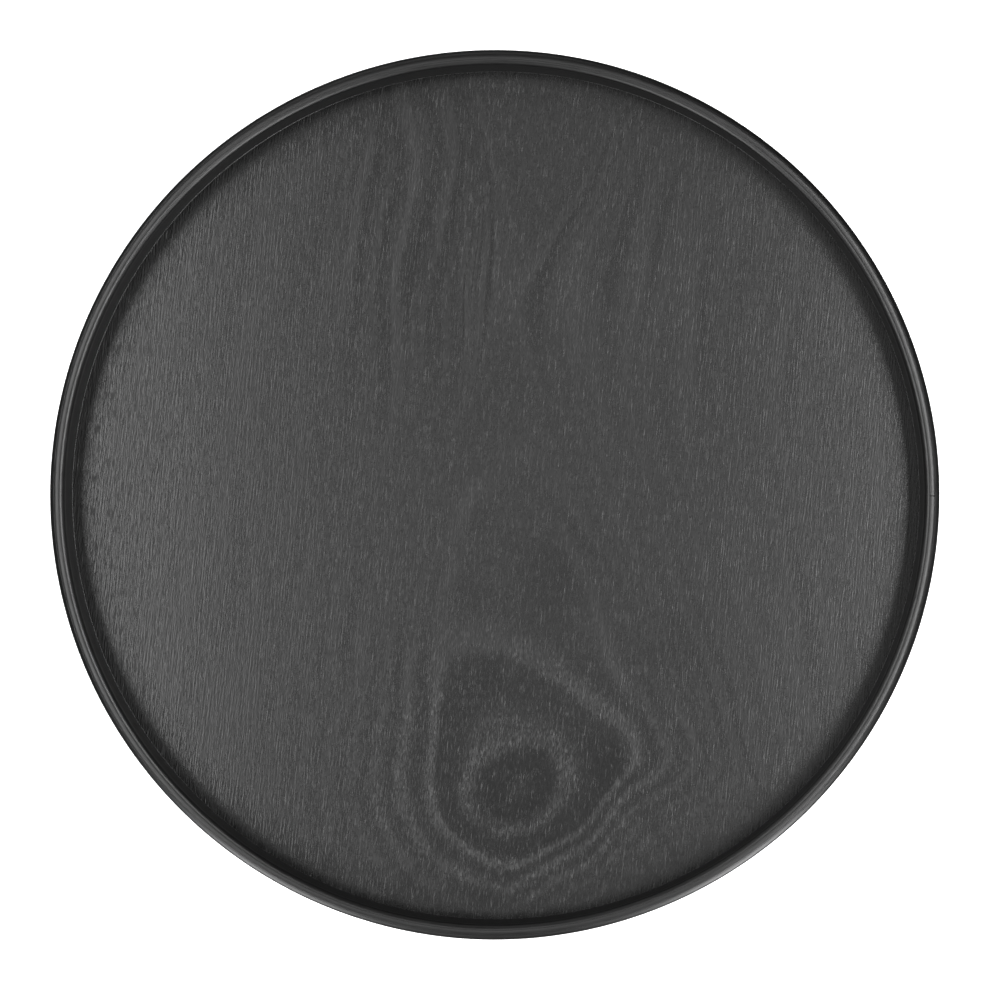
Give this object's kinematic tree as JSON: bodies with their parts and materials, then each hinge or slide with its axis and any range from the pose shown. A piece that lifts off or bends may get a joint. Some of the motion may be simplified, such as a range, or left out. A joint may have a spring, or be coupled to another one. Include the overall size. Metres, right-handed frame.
{
  "type": "round serving tray",
  "caption": "Round bent-wood serving tray with a low rounded rim and a flat veneered floor, stained black, for carrying food and drinks.",
  "frame": {"origin": "centre of the underside, on the plane that the tray stands on", "axes": "+Z is the tray's axis, up out of the well; +Y runs along the floor veneer's grain; +X points to the joints in the hoop's plies"},
  "size_m": [0.33, 0.33, 0.022],
  "materials": {
    "floor_veneer": "black-stained open-pored veneer under satin lacquer",
    "plywood_core": "raw pale wood, hidden inside the panel",
    "back_veneer": "black-stained veneer under satin lacquer",
    "bent_hoop": "black-stained bent wood under satin lacquer"
  },
  "bodies": {
    "root": {"face_veneer": "floor_veneer", "upper_crossband": "plywood_core", "core_ply": "plywood_core", "lower_crossband": "plywood_core", "back_veneer": "back_veneer", "hoop_inner_ply": "bent_hoop", "hoop_middle_ply": "bent_hoop", "hoop_outer_ply": "bent_hoop"}
  },
  "joints": []
}
